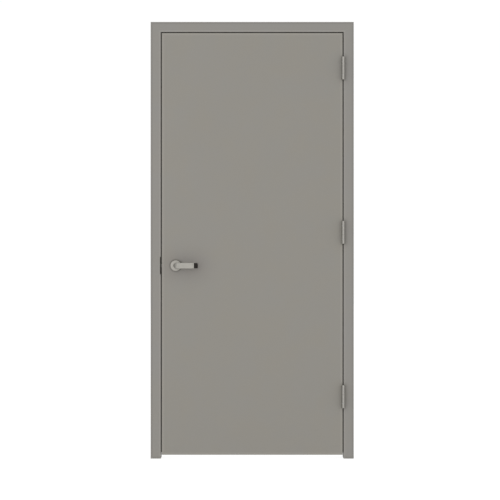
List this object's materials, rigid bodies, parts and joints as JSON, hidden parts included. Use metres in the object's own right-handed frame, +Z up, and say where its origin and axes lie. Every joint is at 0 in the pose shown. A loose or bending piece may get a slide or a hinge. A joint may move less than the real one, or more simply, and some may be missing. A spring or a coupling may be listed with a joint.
{
  "type": "single steel fire door with pressed steel frame, lever handle and butt hinges",
  "caption": "Flush steel fire door hung on butt hinges in a welded double rabbet steel frame, with a lever handle, sprung latch and curled lip strike.",
  "frame": {"origin": "centre of the hinge jamb's floor foot, on its underside", "axes": "+Z up, +X from the strike jamb to the hinge jamb, +Y from the pull side to the push side"},
  "size_m": [1.016, 0.2008, 2.1844],
  "materials": {
    "frame_paint": "satin grey baked paint",
    "leaf_paint": "satin grey baked paint",
    "core": "plain kraft honeycomb",
    "primed_steel": "matt primer",
    "hinge_steel": "satin",
    "hinge_pin": "satin",
    "lever_metal": "satin",
    "tip_rubber": "matt black",
    "dark_strike": "dark oxidised",
    "lock_steel": "satin",
    "silencer_rubber": "matt"
  },
  "bodies": {
    "frame": {"frame_head": "frame_paint", "frame_hinge_jamb": "frame_paint", "frame_strike_jamb": "frame_paint", "frame_hinge_reinforcements": "primed_steel", "strike_reinforcement": "primed_steel", "strike_box": "primed_steel", "strike_plate": "dark_strike", "floor_foot_hinge_side": "primed_steel", "floor_foot_strike_side": "primed_steel", "wall_anchors_hinge_side": "primed_steel", "wall_anchors_strike_side": "primed_steel", "silencers": "silencer_rubber", "hinge_top_frame_leaf": "hinge_steel", "hinge_top_pin": "hinge_pin", "hinge_top_bearings": "hinge_pin", "hinge_middle_frame_leaf": "hinge_steel", "hinge_middle_pin": "hinge_pin", "hinge_middle_bearings": "hinge_pin", "hinge_bottom_frame_leaf": "hinge_steel", "hinge_bottom_pin": "hinge_pin", "hinge_bottom_bearings": "hinge_pin"},
    "leaf": {"leaf_pull_face": "leaf_paint", "leaf_push_face": "leaf_paint", "leaf_core": "core", "leaf_top_channel": "leaf_paint", "leaf_bottom_channel": "leaf_paint", "leaf_hinge_reinforcements": "primed_steel", "lock_reinforcement": "primed_steel", "lock_chassis": "lock_steel", "latch_case": "lock_steel", "latch_faceplate": "lock_steel", "rose_outside": "lever_metal", "rose_inside": "lever_metal", "hinge_top_door_leaf": "hinge_steel", "hinge_middle_door_leaf": "hinge_steel", "hinge_bottom_door_leaf": "hinge_steel"},
    "lever_set": {"lever_outside": "lever_metal", "lever_inside": "lever_metal", "lever_tip_outside": "tip_rubber", "lever_tip_inside": "tip_rubber", "spindle": "lock_steel"},
    "latch": {"latch_bolt": "lock_steel"}
  },
  "joints": [
    {"name": "leaf_swing", "type": "hinge", "parent": "frame", "child": "leaf", "pos_m": [-0.027, -0.09698, 0], "axis": [0, 0, 1], "range_deg": [0, 175]},
    {"name": "lever_turn", "type": "hinge", "parent": "leaf", "child": "lever_set", "pos_m": [-0.86405, -0.0557, 0.9652], "axis": [0, 1, 0], "range_deg": [0, 45], "stiffness_Nm_per_rad": 3, "springref_deg": -17.19},
    {"name": "latch_slide", "type": "slide", "parent": "leaf", "child": "latch", "axis": [1, 0, 0], "range_m": [0, 0.0128]}
  ],
  "couplings": [
    {"joint": "latch_slide", "follows": "lever_turn", "m_per_rad": 0.01617}
  ]
}
